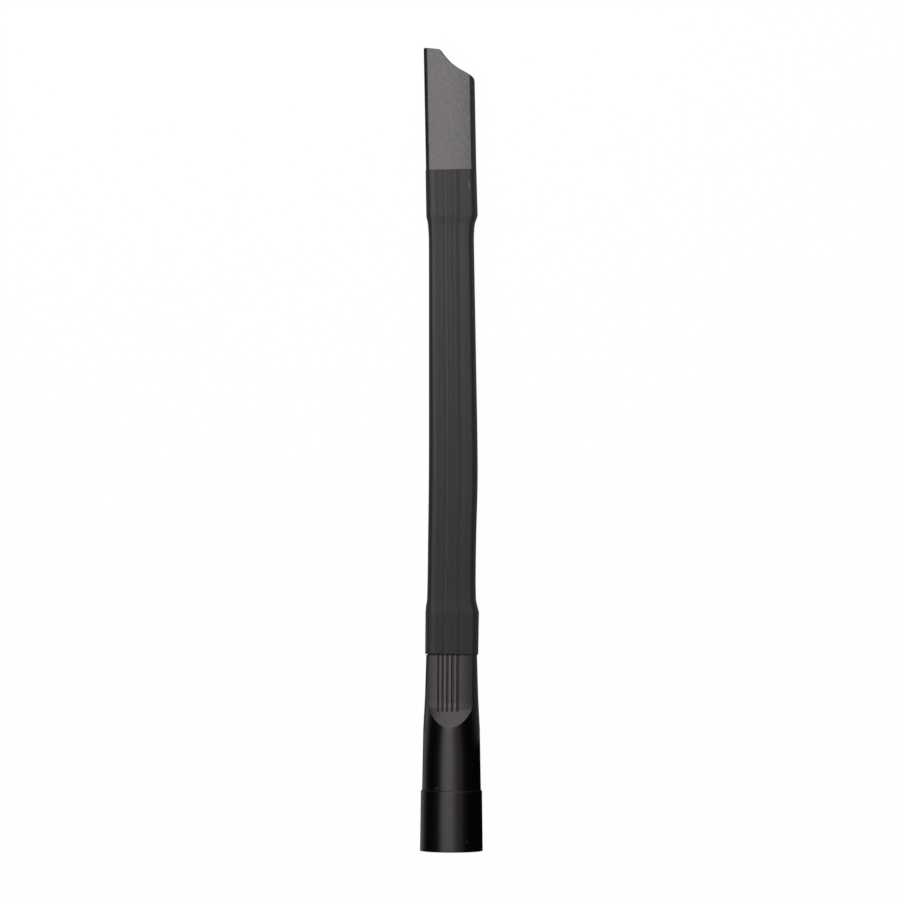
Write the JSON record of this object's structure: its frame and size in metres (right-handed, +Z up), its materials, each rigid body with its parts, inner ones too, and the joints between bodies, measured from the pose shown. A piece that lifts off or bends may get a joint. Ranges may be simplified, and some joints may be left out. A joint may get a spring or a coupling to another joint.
{
  "type": "flexible crevice tool",
  "caption": "Flexible flat crevice tool with a round push-on socket and grooved grip face, a soft flat tube, and a flat nozzle tip with an S-shaped open mouth.",
  "frame": {"origin": "on the round socket's axis, where its straight wall begins 0.8 mm inside the mouth, as the tool lies on its back", "axes": "+Y along the tool from the socket to the nozzle tip, +X to the right of the grooved face, +Z up"},
  "size_m": [0.0438, 0.5617, 0.0458],
  "materials": {
    "connector_plastic": "moulded black, satin",
    "sleeve_rubber": "extruded, matt charcoal",
    "tip_plastic": "moulded dark grey, fine matt grain"
  },
  "bodies": {
    "root": {"connector": "connector_plastic", "flexible_sleeve": "sleeve_rubber", "nozzle_tip": "tip_plastic"}
  },
  "joints": []
}
